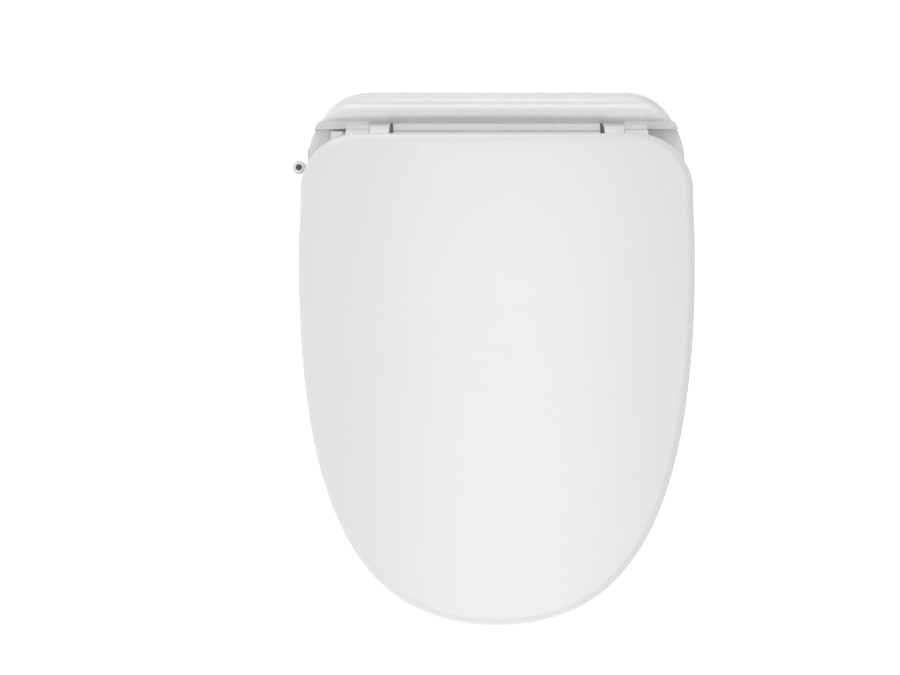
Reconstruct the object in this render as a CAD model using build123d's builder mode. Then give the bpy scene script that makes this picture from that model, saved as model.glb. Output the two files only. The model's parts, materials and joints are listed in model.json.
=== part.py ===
from build123d import *
import math
import os

os.makedirs("parts", exist_ok=True)

# Electric bidet seat, in millimetres. The origin is midway between the two mounting slots, on the bowl's rim.
# +Y points to the rear, +Z up. The seat is closed: the ring lies on the bowl and the lid lies on the ring.

# ---------------------------------------------------------------- overall sizes
lid_width = 390.0
lid_length = 485.5
lid_rear_y = 15.5
lid_corner_r = 57.0
lid_widest_y = -111.0
side_taper = 1.7
nose_fullness = 0.69
housing_rear_y = 55.0
housing_front_y = -62.0
housing_inset = 7.5
housing_corner_r = 64.0
housing_front_r = 15.0
wall = 3.0

# ---------------------------------------------------------------- hinge line, parallel to X
hinge_y = 12.5
hinge_z = 66.0
pin_r = 3.5
running_fit = 0.05
side_gap = 0.5
lug_r = 11.5
lug_width = 19.8
tab_width = 22.7
arm_width = 17.5
lug_station = 62.2
slot_width = 3.5

# ---------------------------------------------------------------- heights
pad_height = 3.0
seam_z = 28.0
deck_z = 44.0
ring_bottom_z = 9.0
lid_rise = 12.5
rim_drop = 6.0
ring_drop = 8.5
hump_rise = 18.0
ring_slope = 1.6
lid_long_r = 7000.0
lid_cross_r = 4500.0

# ---------------------------------------------------------------- hump behind the lid
foot_y = 26.2
crest_y = 48.0
hump_side_drop = 17.0
hump_side_run = 60.0
hump_stations = 9
hump_blend = 12.0
hump_edge_fillet = 5.0
hump_slope_run = 13.0
ledge_front_y = 19.0
shoulder_front_y = 21.0
shoulder_drop = 1.5
shoulder_slope = 32.0

# ---------------------------------------------------------------- seat ring
ring_inset = 5.0
ring_rear_y = 2.0
ring_corner_r = 50.0
rail_width = 75.0
opening_rear_y = -95.0
opening_widest_y = -215.0
front_rail = 72.0
opening_fullness = 0.62
pocket_gap = 8.0
foil_thickness = 0.6
plate_thickness = 2.5
fit_gap = 0.3

# ---------------------------------------------------------------- wash nozzles
wand_angle = 12.0
wand_tip_y = -86.0
wand_tip_z = 12.0
wand_spacing = 18.0
tube_r = 5.0
tube_wall = 1.2
tube_start = 14.0
head_length = 22.0
tube_end = 60.0
carriage_length = 6.0
wash_travel = 56.0
rack_module = 1.0
pinion_teeth = 16
pinion_thickness = 5.0
gear_backlash = 0.3
shaft_r = 1.5
motor_r = 9.0

# ---------------------------------------------------------------- values worked out from those above
lid_half = lid_width / 2
lid_nose_y = lid_rear_y - lid_length
housing_half = lid_half - housing_inset
lid_top_z = hinge_z + lid_rise
rim_z = hinge_z - rim_drop
ring_top_z = hinge_z - ring_drop
ring_pocket_z = deck_z + 2.5
hump_top_z = hinge_z + hump_rise
ledge_z = rim_z
lug_outer = housing_half - lug_station
lug_inner = lug_outer - lug_width
tab_inner = lug_outer + side_gap
tab_outer = tab_inner + tab_width
ledge_half = lug_inner - slot_width
arm_outer = ledge_half - side_gap
arm_inner = arm_outer - arm_width
arm_r = pin_r + 2.0
tab_r = pin_r + 3.5
damper_r = pin_r + 4.5
bush_r = pin_r + 0.5
bore_r = pin_r + running_fit
pocket_front_y = housing_front_y - pocket_gap
opening_half = lid_half - ring_inset - rail_width
opening_front_y = lid_nose_y + front_rail
head_r = tube_r + 1.0
rack_start = tube_end + carriage_length
pinion_at = rack_start + tube_r + 1.0


def mirrored_face(draw):
    """A flat face whose right half is drawn by draw() and whose left half mirrors it."""
    with BuildSketch(mode=Mode.PRIVATE) as flat:
        with BuildLine():
            draw()
            mirror(about=Plane.YZ)
        make_face()
    return flat.sketch


def shield(inset, half, rear, corner, nose):
    """The seat's outline seen from above: rounded rear corners, near-straight sides, a long full nose."""
    side = half - inset
    rear_side = side - side_taper
    back = rear - inset
    front = nose + inset
    radius = corner - inset
    reach = nose_fullness * (lid_widest_y - front)
    middle = (back - radius + lid_widest_y) / 2

    def draw():
        Line((0, back), (rear_side - radius, back))
        JernArc((rear_side - radius, back), (1, 0), radius, -90)
        Bezier((rear_side, back - radius), (rear_side, middle), (side, middle), (side, lid_widest_y))
        Bezier(
            (side, lid_widest_y),
            (side, lid_widest_y - reach),
            (side * nose_fullness, front),
            (0, front),
        )

    return mirrored_face(draw)


def lid_outline(inset):
    return shield(inset, lid_half, lid_rear_y, lid_corner_r, lid_nose_y)


def ring_outline(inset):
    return shield(inset, lid_half - ring_inset, ring_rear_y, ring_corner_r, lid_nose_y + ring_inset)


def opening_outline(outset):
    """The ring's egg-shaped opening, grown outwards by outset."""
    side = opening_half + outset
    back = opening_rear_y + outset
    front = opening_front_y - outset
    full = opening_fullness

    def draw():
        Bezier(
            (0, back),
            (side * full, back),
            (side, opening_widest_y + full * (back - opening_widest_y)),
            (side, opening_widest_y),
        )
        Bezier(
            (side, opening_widest_y),
            (side, opening_widest_y + full * (front - opening_widest_y)),
            (side * full, front),
            (0, front),
        )

    return mirrored_face(draw)


def housing_outline(inset):
    """The housing's outline seen from above, with large rear corners and small front ones."""
    side = housing_half - inset
    back = housing_rear_y - inset
    front = housing_front_y + inset
    rear_radius = housing_corner_r - inset
    front_radius = housing_front_r - inset

    def draw():
        Line((0, back), (side - rear_radius, back))
        JernArc((side - rear_radius, back), (1, 0), rear_radius, -90)
        Line((side, back - rear_radius), (side, front + front_radius))
        JernArc((side, front + front_radius), (0, -1), front_radius, -90)
        Line((side - front_radius, front), (0, front))

    return mirrored_face(draw)


def sloped_plane(height):
    """A plane that is at this height over the hinge line and falls towards the nose."""
    slope = math.radians(ring_slope)
    upward = (0, -math.sin(slope), math.cos(slope))
    return Plane(origin=(0, hinge_y, height), x_dir=(1, 0, 0), z_dir=upward)


def box_between(low, high):
    """A box given by its lowest and highest corners."""
    with BuildPart(mode=Mode.PRIVATE) as block:
        with Locations(((low[0] + high[0]) / 2, (low[1] + high[1]) / 2, (low[2] + high[2]) / 2)):
            Box(high[0] - low[0], high[1] - low[1], high[2] - low[2])
    return block.part


def rod_between(x_low, x_high, y, z, radius):
    """A round rod parallel to X."""
    with BuildPart(mode=Mode.PRIVATE) as rod:
        with BuildSketch(Plane.YZ.offset(x_low)):
            with Locations((y, z)):
                Circle(radius)
        extrude(amount=x_high - x_low)
    return rod.part


def upright(x, y, z_low, z_high, radius):
    """A round post parallel to Z."""
    with BuildPart(mode=Mode.PRIVATE) as post:
        with BuildSketch(Plane.XY.offset(z_low)):
            with Locations((x, y)):
                Circle(radius)
        extrude(amount=z_high - z_low)
    return post.part


def both_sides(shape):
    """A shape and its mirror image in the seat's middle plane."""
    return [shape, shape.mirror(Plane.YZ)]


# ================================================================ lid
def lid_block(inset, drop):
    """The lid's outline extruded up to its crowned top, drawn in by inset and lowered by drop."""
    top = lid_top_z - drop
    edge = lid_half + 10
    sag = lid_cross_r - math.sqrt(lid_cross_r**2 - edge**2)
    sweep = math.degrees((lid_length + 30) / lid_long_r)
    with BuildPart(mode=Mode.PRIVATE) as block:
        with BuildSketch(Plane.XY.offset(ring_bottom_z)):
            add(lid_outline(inset))
        extrude(amount=lid_top_z)
        with BuildSketch(Plane.XZ.offset(-lid_rear_y)):
            with BuildLine():
                ThreePointArc((-edge, top - sag), (0, top), (edge, top - sag))
                Line((edge, top - sag), (edge, 0))
                Line((edge, 0), (-edge, 0))
                Line((-edge, 0), (-edge, top - sag))
            make_face()
        revolve(
            axis=Axis((0, lid_rear_y, top - lid_long_r), (1, 0, 0)),
            revolution_arc=sweep,
            mode=Mode.INTERSECT,
        )
    return block.part


lid_edge_fillet = 4.0
lid_wall = 3.0
web_front_y = -6.0
rear_notch_z = lid_top_z - lid_wall - 1.8
notch_half = tab_outer + 4.0
lug_top_z = lid_top_z - 3.3
damper_length = 15.0
damper_end = lug_inner + damper_length

with BuildPart() as lid_lug:
    add(rod_between(lug_inner, lug_outer, hinge_y, hinge_z, lug_r))
    split(bisect_by=Plane.XY.offset(lug_top_z), keep=Keep.BOTTOM)
    add(box_between((lug_inner, web_front_y, hinge_z), (lug_outer, hinge_y, rear_notch_z + 1)))

with BuildPart() as lid_shell:
    add(lid_block(0, 0))
    split(bisect_by=sloped_plane(rim_z), keep=Keep.TOP)
    fillet(lid_shell.faces().sort_by(Axis.Z)[-1].edges(), lid_edge_fillet)
    add(lid_block(lid_wall, lid_wall), mode=Mode.SUBTRACT)
    notch_low = (-notch_half, web_front_y, ring_bottom_z)
    add(box_between(notch_low, (notch_half, lid_rear_y + 5, rear_notch_z)), mode=Mode.SUBTRACT)
    add(both_sides(lid_lug.part))
    add(both_sides(rod_between(lug_inner, damper_end, hinge_y, hinge_z, damper_r)), mode=Mode.SUBTRACT)
    add(both_sides(rod_between(lug_inner, lug_outer, hinge_y, hinge_z, bore_r)), mode=Mode.SUBTRACT)
lid_shell.part.label = "lid_shell"
export_step(lid_shell.part, "parts/lid_shell.step")

with BuildPart() as soft_close_dampers:
    add(both_sides(rod_between(lug_inner, damper_end, hinge_y, hinge_z, damper_r)))
    add(both_sides(rod_between(lug_inner, damper_end, hinge_y, hinge_z, bore_r)), mode=Mode.SUBTRACT)
soft_close_dampers.part.label = "soft_close_dampers"
export_step(soft_close_dampers.part, "parts/soft_close_dampers.step")

panel_rear_y = -12.0
panel_lift = 0.5
panel_thickness = 2.0
with BuildPart() as lid_inner_panel:
    with BuildSketch(Plane.XY):
        add(lid_outline(lid_wall + fit_gap))
    extrude(amount=lid_top_z)
    split(bisect_by=sloped_plane(rim_z + panel_lift), keep=Keep.TOP)
    split(bisect_by=sloped_plane(rim_z + panel_lift + panel_thickness), keep=Keep.BOTTOM)
    split(bisect_by=Plane.XZ.offset(-panel_rear_y), keep=Keep.TOP)
lid_inner_panel.part.label = "lid_inner_panel"
export_step(lid_inner_panel.part, "parts/lid_inner_panel.step")

bumper_spots = [(lid_half - 42, -150.0), (lid_half - 95, lid_nose_y + 85)]
lid_bumper_r = 7.0
with BuildPart() as lid_bumpers:
    for spot_x, spot_y in bumper_spots:
        add(both_sides(upright(spot_x, spot_y, ring_bottom_z, lid_top_z, lid_bumper_r)))
    split(bisect_by=sloped_plane(ring_top_z), keep=Keep.TOP)
    split(bisect_by=sloped_plane(rim_z + panel_lift), keep=Keep.BOTTOM)
lid_bumpers.part.label = "lid_bumpers"
export_step(lid_bumpers.part, "parts/lid_bumpers.step")


# ================================================================ seat ring
def ring_block(inset, drop):
    """The ring from below its underside up to its sloping top, with its opening left closed."""
    with BuildPart(mode=Mode.PRIVATE) as block:
        with BuildSketch(Plane.XY.offset(-10)):
            add(ring_outline(inset))
            add(opening_outline(inset), mode=Mode.SUBTRACT)
        extrude(amount=ring_top_z + 20)
        split(bisect_by=sloped_plane(ring_top_z - drop), keep=Keep.BOTTOM)
        split(bisect_by=Plane.XY.offset(ring_bottom_z), keep=Keep.TOP)
    return block.part


shroud_half = 56.0
throat_half = shroud_half + 5.0
throat_front_y = opening_rear_y - 15.0
rear_pocket = box_between((-lid_half, pocket_front_y, 0), (lid_half, hinge_y, ring_pocket_z))
throat_pocket = box_between((-throat_half, throat_front_y, 0), (throat_half, hinge_y, ring_pocket_z))
cavity_rear = box_between((-lid_half, pocket_front_y - wall, 0), (lid_half, hinge_y, lid_top_z))
throat_side = throat_half + wall
cavity_throat = box_between((-throat_side, throat_front_y - wall, 0), (throat_side, 0, lid_top_z))
ring_edge_fillet = 8.0
arm_front_y = -12.0
pin_start = arm_inner - 2.0

with BuildPart() as ring_cavity:
    add(ring_block(wall, wall))
    add(cavity_rear, mode=Mode.SUBTRACT)
    add(cavity_throat, mode=Mode.SUBTRACT)

with BuildPart() as seat_upper_shell:
    add(ring_block(0, 0))
    fillet(seat_upper_shell.faces().sort_by(Axis.Z)[-1].edges(), ring_edge_fillet)
    add(rear_pocket, mode=Mode.SUBTRACT)
    add(throat_pocket, mode=Mode.SUBTRACT)
    add(ring_cavity.part, mode=Mode.SUBTRACT)
    arm_low = (arm_inner, arm_front_y, ring_top_z - ring_edge_fillet)
    add(both_sides(box_between(arm_low, (arm_outer, hinge_y - 2, hinge_z))))
    add(rod_between(-arm_outer, arm_outer, hinge_y, hinge_z, arm_r))
    add(both_sides(rod_between(pin_start - 1, arm_outer + 1, hinge_y, hinge_z, bore_r)), mode=Mode.SUBTRACT)
seat_upper_shell.part.label = "seat_upper_shell"
export_step(seat_upper_shell.part, "parts/seat_upper_shell.step")

seat_screw_r = 1.9
seat_screw_head_r = 3.5
seat_screw_head = 1.5
seat_screw_offset = 25.0
seat_screw_length = 12.0
seat_bumper_r = 11.0

with BuildPart() as seat_lower_plate:
    add(ring_block(wall + fit_gap, wall))
    split(bisect_by=Plane.XY.offset(ring_bottom_z + plate_thickness), keep=Keep.BOTTOM)
    add(cavity_rear, mode=Mode.SUBTRACT)
    add(cavity_throat, mode=Mode.SUBTRACT)
    for spot_x, spot_y in bumper_spots:
        for side in (-1, 1):
            hole_y = spot_y + seat_screw_offset
            hole_top = ring_bottom_z + plate_thickness
            add(upright(side * spot_x, hole_y, 0, hole_top, seat_screw_r + 0.1), mode=Mode.SUBTRACT)
seat_lower_plate.part.label = "seat_lower_plate"
export_step(seat_lower_plate.part, "parts/seat_lower_plate.step")

with BuildPart() as seat_heater_foil:
    add(ring_block(wall + 6, wall))
    split(bisect_by=sloped_plane(ring_top_z - wall - foil_thickness), keep=Keep.TOP)
    add(cavity_rear, mode=Mode.SUBTRACT)
    add(cavity_throat, mode=Mode.SUBTRACT)
seat_heater_foil.part.label = "seat_heater_foil"
export_step(seat_heater_foil.part, "parts/seat_heater_foil.step")

with BuildPart() as seat_bumpers:
    for spot_x, spot_y in bumper_spots:
        for side in (-1, 1):
            add(upright(side * spot_x, spot_y, 0, ring_bottom_z, seat_bumper_r))
seat_bumpers.part.label = "seat_bumpers"
export_step(seat_bumpers.part, "parts/seat_bumpers.step")

with BuildPart() as seat_screws:
    for spot_x, spot_y in bumper_spots:
        for side in (-1, 1):
            screw_x = side * spot_x
            screw_y = spot_y + seat_screw_offset
            head_low = ring_bottom_z - seat_screw_head
            add(upright(screw_x, screw_y, head_low, ring_bottom_z, seat_screw_head_r))
            add(upright(screw_x, screw_y, ring_bottom_z, ring_bottom_z + seat_screw_length, seat_screw_r))
seat_screws.part.label = "seat_screws"
export_step(seat_screws.part, "parts/seat_screws.step")


# ================================================================ housing
def housing_block(inset, low, high):
    """The housing's outline between two heights."""
    with BuildPart(mode=Mode.PRIVATE) as block:
        with BuildSketch(Plane.XY.offset(low)):
            add(housing_outline(inset))
        extrude(amount=high - low)
    return block.part


def hump_profile(x, top, inset):
    """The hump's section at one station: an upright foot, a sloping front and a level top."""
    foot = foot_y + inset
    back = housing_rear_y + wall
    with BuildSketch(Plane.YZ.offset(x), mode=Mode.PRIVATE) as section:
        with BuildLine():
            Line((foot, 0), (foot, ledge_z))
            Bezier((foot, ledge_z), (foot + hump_slope_run, top), (crest_y, top))
            Line((crest_y, top), (back, top))
            Line((back, top), (back, 0))
            Line((back, 0), (foot, 0))
        make_face()
    return section.sketch


def hump_block(inset):
    """The upper housing: a deck under the seat and a hump behind it, falling away to both sides."""
    top = hump_top_z - inset
    side = housing_half - inset
    flat = side - hump_side_run
    level = flat - 2 * hump_blend
    turns = [math.pi / 2 * station / hump_stations for station in range(hump_stations + 1)]
    sections = [hump_profile(level, top, inset), hump_profile(flat - hump_blend, top, inset)]
    for turn in turns:
        fall = hump_side_drop * (1 - math.cos(turn))
        sections.append(hump_profile(flat + hump_side_run * math.sin(turn), top - fall, inset))
    with BuildPart(mode=Mode.PRIVATE) as block:
        add(box_between((-side, housing_front_y, 0), (side, housing_rear_y, deck_z - inset)))
        extrude(hump_profile(-level, top, inset), amount=2 * level)
        add(both_sides(loft(sections, mode=Mode.PRIVATE)))
        with BuildSketch(Plane.XY.offset(seam_z)):
            add(housing_outline(inset))
        extrude(amount=hump_top_z, mode=Mode.INTERSECT)
    return block.part


boss_r = 5.0
screw_r = 1.9
screw_head_r = 3.8
screw_head = 2.5
gland_x = 100.0
gland_z = 18.0
gland_r = 8.0
boss_spots = [
    (housing_half - 56, housing_front_y + 10),
    (housing_half - 28, foot_y),
    (gland_x + gland_r + 2 * boss_r, housing_rear_y - 6),
]
window_half = 52.0
window_low = (-window_half, housing_front_y - 1, pad_height + 4)
front_window = box_between(window_low, (window_half, housing_front_y + wall + 1, deck_z - 5))

inlet_y = -15.7
inlet_z = 30.0
inlet_x = housing_half + 8.8
spigot_r = 5.0
cartridge_y = (-50.0, -30.0)
cartridge_z = (12.0, 25.0)
cartridge_depth = 42.0
button_r = 5.0
button_z = 19.0
power_y = -20.0
wash_y = -6.0
lens_y = 6.0
lens_r = 3.0
release_y = 0.0
release_z = 17.0
side_depth = 10.0

right_low = housing_half - side_depth
right_high = housing_half + 1
cartridge_low = (right_low - side_depth, cartridge_y[0] - fit_gap, cartridge_z[0] - fit_gap)
side_holes = [
    rod_between(-right_high, -right_low, inlet_y, inlet_z, spigot_r + fit_gap),
    rod_between(right_low, right_high, power_y, button_z, button_r + fit_gap),
    rod_between(right_low, right_high, wash_y, button_z, button_r + fit_gap),
    rod_between(right_low, right_high, lens_y, button_z, lens_r),
    rod_between(-right_high, -right_low, release_y, release_z, button_r + fit_gap),
    box_between(cartridge_low, (right_high, cartridge_y[1] + fit_gap, cartridge_z[1] + fit_gap)),
]
plate_half = 92.0
plate_flange = 10.0
plate_front_y = -26.0
plate_rear_y = 26.0
plate_top_z = 6.0
flange_low_z = 3.0
recess_gap = 0.4
recess_half = plate_half + recess_gap
recess_top_z = plate_top_z + recess_gap
tray_half = recess_half + wall
tray_rear_y = housing_rear_y - 1
lip_z = (0.6, 2.6)

with BuildPart() as base_chassis:
    add(housing_block(0, pad_height, seam_z))
    add(housing_block(wall, pad_height + wall, seam_z + 1), mode=Mode.SUBTRACT)
    tray_low = (-tray_half, plate_front_y - wall - 1, pad_height)
    add(box_between(tray_low, (tray_half, tray_rear_y, recess_top_z + wall)))
    recess_low = (-recess_half, plate_front_y - recess_gap, 0)
    add(box_between(recess_low, (recess_half, housing_rear_y + 1, recess_top_z)), mode=Mode.SUBTRACT)
    lip_low = (plate_half - plate_flange + 1, plate_front_y, lip_z[0])
    add(both_sides(box_between(lip_low, (tray_half, tray_rear_y, lip_z[1]))))
    lip_web_low = (recess_half, plate_front_y, lip_z[0])
    add(both_sides(box_between(lip_web_low, (tray_half, tray_rear_y, pad_height + 1))))
    for spot_x, spot_y in boss_spots:
        for side in (-1, 1):
            add(upright(side * spot_x, spot_y, pad_height + 1, seam_z, boss_r))
    for spot_x, spot_y in boss_spots:
        for side in (-1, 1):
            add(upright(side * spot_x, spot_y, 0, seam_z + 1, screw_r), mode=Mode.SUBTRACT)
            recess_end = pad_height + screw_head + 0.5
            add(upright(side * spot_x, spot_y, 0, recess_end, screw_head_r + 0.2), mode=Mode.SUBTRACT)
    add(front_window, mode=Mode.SUBTRACT)
    for hole in side_holes:
        add(hole, mode=Mode.SUBTRACT)
    with BuildSketch(Plane.XZ.offset(-housing_rear_y - 1)):
        with Locations((gland_x, gland_z), (-gland_x, gland_z)):
            Circle(gland_r)
    extrude(amount=side_depth, mode=Mode.SUBTRACT)
base_chassis.part.label = "base_chassis"
export_step(base_chassis.part, "parts/base_chassis.step")

bush_start = tab_inner + tab_width / 2
tab_front_y = hinge_y - tab_r
tab_rear_y = hinge_y + tab_r
tab_low_z = deck_z - 1
cradle_gap = 1.5
with BuildPart() as lug_cradle:
    add(box_between((lug_inner - side_gap, hinge_y, tab_low_z), (tab_inner, foot_y + 1, ledge_z)))
    add(rod_between(lug_inner - 1, tab_inner, hinge_y, hinge_z, lug_r + cradle_gap), mode=Mode.SUBTRACT)

shoulder_depth = foot_y + 2 - shoulder_front_y
shoulder_width = housing_half - tab_outer
shoulder_lean = math.radians(shoulder_slope)
shoulder_up = (0, -math.sin(shoulder_lean), math.cos(shoulder_lean))
shoulder_edge = (0, shoulder_front_y, ledge_z - shoulder_drop)
with BuildPart() as shoulder:
    with BuildSketch(Plane.XY.offset(tab_low_z)):
        add(housing_outline(0))
        with Locations((tab_outer + shoulder_width / 2, shoulder_front_y + shoulder_depth / 2)):
            Rectangle(shoulder_width, shoulder_depth, mode=Mode.INTERSECT)
    extrude(amount=hinge_z - tab_low_z)
    split(bisect_by=Plane(origin=shoulder_edge, x_dir=(1, 0, 0), z_dir=shoulder_up), keep=Keep.BOTTOM)

with BuildPart() as top_cover:
    add(hump_block(0))
    fillet(top_cover.edges().group_by(Axis.Y)[-1].sort_by(Axis.Z)[-1], hump_edge_fillet)
    add(hump_block(wall), mode=Mode.SUBTRACT)
    add(box_between((-ledge_half, ledge_front_y, tab_low_z), (ledge_half, foot_y + 1, ledge_z)))
    add(both_sides(lug_cradle.part))
    add(both_sides(shoulder.part))
    with BuildSketch(Plane.YZ.offset(tab_inner)):
        with BuildLine():
            Polyline(
                (tab_front_y, tab_low_z),
                (foot_y + 2, tab_low_z),
                (foot_y + 2, hinge_z - 3),
                (foot_y - 2, hinge_z - 5),
                (tab_rear_y, ledge_z),
                (tab_rear_y, hinge_z),
                (tab_front_y, hinge_z),
                close=True,
            )
        make_face()
    tab = extrude(amount=tab_width)
    mirror(tab, about=Plane.YZ)
    add(both_sides(rod_between(tab_inner, tab_outer, hinge_y, hinge_z, tab_r)))
    for spot_x, spot_y in boss_spots:
        for side in (-1, 1):
            add(upright(side * spot_x, spot_y, seam_z, tab_low_z, boss_r))
            add(upright(side * spot_x, spot_y, seam_z - 1, deck_z - wall, screw_r), mode=Mode.SUBTRACT)
    add(both_sides(rod_between(tab_inner - 1, bush_start, hinge_y, hinge_z, pin_r)), mode=Mode.SUBTRACT)
    add(rod_between(-tab_outer - 1, -bush_start - 1, hinge_y, hinge_z, bush_r), mode=Mode.SUBTRACT)
    add(front_window, mode=Mode.SUBTRACT)
    add(side_holes, mode=Mode.SUBTRACT)
top_cover.part.label = "top_cover"
export_step(top_cover.part, "parts/top_cover.step")

with BuildPart() as hinge_pins:
    add(both_sides(rod_between(pin_start, bush_start, hinge_y, hinge_z, pin_r)))
hinge_pins.part.label = "hinge_pins"
export_step(hinge_pins.part, "parts/hinge_pins.step")

bush_outer = tab_outer + 3.0
bush_wall = 1.5
with BuildPart() as heater_cable_bush:
    add(rod_between(-bush_outer, -bush_start - 1, hinge_y, hinge_z, bush_r))
    add(rod_between(-bush_outer - 1, -bush_start, hinge_y, hinge_z, bush_r - bush_wall), mode=Mode.SUBTRACT)
heater_cable_bush.part.label = "heater_cable_bush"
export_step(heater_cable_bush.part, "parts/heater_cable_bush.step")

cable_cover_inner = bush_outer + 0.4
cable_cover_outer = tab_outer + 15.1
cable_cover_y = (7.0, 18.5)
cable_cover_edge = 0.8
with BuildPart() as seat_cable_cover:
    cable_cover_low = (-cable_cover_outer, cable_cover_y[0], deck_z)
    add(box_between(cable_cover_low, (-cable_cover_inner, cable_cover_y[1], rim_z - 1)))
    fillet(seat_cable_cover.edges().filter_by(Axis.Z), cable_cover_edge)
    fillet(seat_cable_cover.faces().sort_by(Axis.Z)[-1].edges(), cable_cover_edge / 2)
seat_cable_cover.part.label = "seat_cable_cover"
export_step(seat_cable_cover.part, "parts/seat_cable_cover.step")

pad_r = 9.0
pad_spots = [(housing_half - 25, housing_front_y + 24), (housing_half - 55, housing_rear_y - 15)]
with BuildPart() as bowl_pads:
    for spot_x, spot_y in pad_spots:
        for side in (-1, 1):
            add(upright(side * spot_x, spot_y, 0, pad_height, pad_r))
bowl_pads.part.label = "bowl_pads"
export_step(bowl_pads.part, "parts/bowl_pads.step")

head_low = pad_height + 0.5
head_high = head_low + screw_head
with BuildPart() as cover_screws:
    for spot_x, spot_y in boss_spots:
        for side in (-1, 1):
            add(upright(side * spot_x, spot_y, head_low, head_high, screw_head_r))
            add(upright(side * spot_x, spot_y, head_high, deck_z - wall - 2, screw_r))
cover_screws.part.label = "cover_screws"
export_step(cover_screws.part, "parts/cover_screws.step")

bolt_spacing = 150.0
bolt_slot_length = 26.0
bolt_hole_r = 4.25
flange_half = plate_half - plate_flange
with BuildPart() as mounting_plate:
    add(box_between((-plate_half, plate_front_y, flange_low_z), (plate_half, plate_rear_y, plate_top_z)))
    add(box_between((-flange_half, plate_front_y, 0), (flange_half, plate_rear_y, flange_low_z + 1)))
    with BuildSketch(Plane.XY):
        with Locations((-bolt_spacing / 2, 0), (bolt_spacing / 2, 0)):
            SlotOverall(bolt_slot_length, 2 * bolt_hole_r)
    extrude(amount=plate_top_z, mode=Mode.SUBTRACT)
mounting_plate.part.label = "mounting_plate"
export_step(mounting_plate.part, "parts/mounting_plate.step")


# ================================================================ wash nozzles
wand_pitch = math.radians(wand_angle)
wand_rise = math.sin(wand_pitch)
wand_run = math.cos(wand_pitch)


def wand_plane(side):
    """A plane across one wand at its tip; its normal runs back and up along the wand."""
    tip = (side * wand_spacing / 2, wand_tip_y, wand_tip_z)
    return Plane(origin=tip, x_dir=(1, 0, 0), z_dir=(0, wand_run, wand_rise))


def pinion_plane(side, height):
    """A plane across one pinion, height above the rack's middle, with its normal leaning up from the wand."""
    across = side * (rack_pitch_x + pinion_pitch_r)
    centre = wand_plane(side).from_local_coords((across, -height, pinion_at))
    return Plane(origin=centre, x_dir=(1, 0, 0), z_dir=(0, -wand_rise, wand_run))


def wand_bar(side, start, end, low, high):
    """A bar along one wand; its low and high corners across the wand are measured outwards and down."""
    with BuildPart(mode=Mode.PRIVATE) as bar:
        with BuildSketch(wand_plane(side).offset(start)):
            with Locations((side * (low[0] + high[0]) / 2, (low[1] + high[1]) / 2)):
                Rectangle(high[0] - low[0], high[1] - low[1])
        extrude(amount=end - start)
    return bar.part


def wand_rod(side, start, end, radius):
    """A round rod along one wand's centre line."""
    with BuildPart(mode=Mode.PRIVATE) as rod:
        with BuildSketch(wand_plane(side).offset(start)):
            Circle(radius)
        extrude(amount=end - start)
    return rod.part


pinion_pitch_r = rack_module * pinion_teeth / 2
rack_pitch_x = 4.0
addendum = 0.9 * rack_module
dedendum = 1.2 * rack_module
pressure_angle = math.radians(20)
tooth_pitch = math.pi * rack_module
half_tooth = tooth_pitch / 4 - gear_backlash / 2
rack_end = pinion_at + wash_travel + 4.0
rack_half_height = 2.5
rack_back = -3.0
tooth_sink = 0.3


def involute(angle):
    return math.tan(angle) - angle


def flank_point(radius, sign):
    """A point of the pinion's tooth flank, for the tooth that points along +X."""
    base_r = pinion_pitch_r * math.cos(pressure_angle)
    here = math.acos(min(1.0, base_r / radius))
    half_angle = half_tooth / pinion_pitch_r + involute(pressure_angle) - involute(here)
    return (radius * math.cos(half_angle), sign * radius * math.sin(half_angle))


def pinion_face():
    root_r = pinion_pitch_r - dedendum
    tip_r = pinion_pitch_r + addendum
    base_r = pinion_pitch_r * math.cos(pressure_angle)
    steps = [base_r + (tip_r - base_r) * i / 3 for i in range(4)]
    foot_x = root_r - tooth_sink
    foot_half = flank_point(base_r, 1)[1]
    tooth = [(foot_x, foot_half)] + [flank_point(r, 1) for r in steps]
    tooth += [flank_point(r, -1) for r in reversed(steps)] + [(foot_x, -foot_half)]
    with BuildSketch(mode=Mode.PRIVATE) as gear:
        Circle(root_r)
        with PolarLocations(0, pinion_teeth):
            Polygon(*tooth, align=None)
        Circle(shaft_r + running_fit, mode=Mode.SUBTRACT)
    return gear.sketch


def rack_tooth(side, along):
    """One tooth of the rack, pointing away from the seat's middle plane."""
    rise = math.tan(pressure_angle)
    root_half = half_tooth + dedendum * rise
    tip_half = half_tooth - addendum * rise
    root_x = rack_pitch_x - dedendum
    tip_x = rack_pitch_x + addendum
    corners = [(root_x - tooth_sink, -root_half), (root_x, -root_half), (tip_x, -tip_half)]
    corners += [(tip_x, tip_half), (root_x, root_half), (root_x - tooth_sink, root_half)]
    middle = wand_plane(side).from_local_coords((0, rack_half_height, along))
    flat = Plane(origin=middle, x_dir=(1, 0, 0), z_dir=(0, -wand_rise, wand_run))
    with BuildPart(mode=Mode.PRIVATE) as tooth:
        with BuildSketch(flat):
            Polygon(*[(side * x, y) for x, y in corners], align=None)
        extrude(amount=2 * rack_half_height)
    return tooth.part


cap_thickness = 2.0
chamber_start = 4.0
chamber_r = tube_r - 2.5
spray_start = 6.5
spray_pitch = (1.6, 1.8)
spray_r = 0.5
motor_top = -4.0
motor_length = 9.0
shaft_top = 3.5

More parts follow.
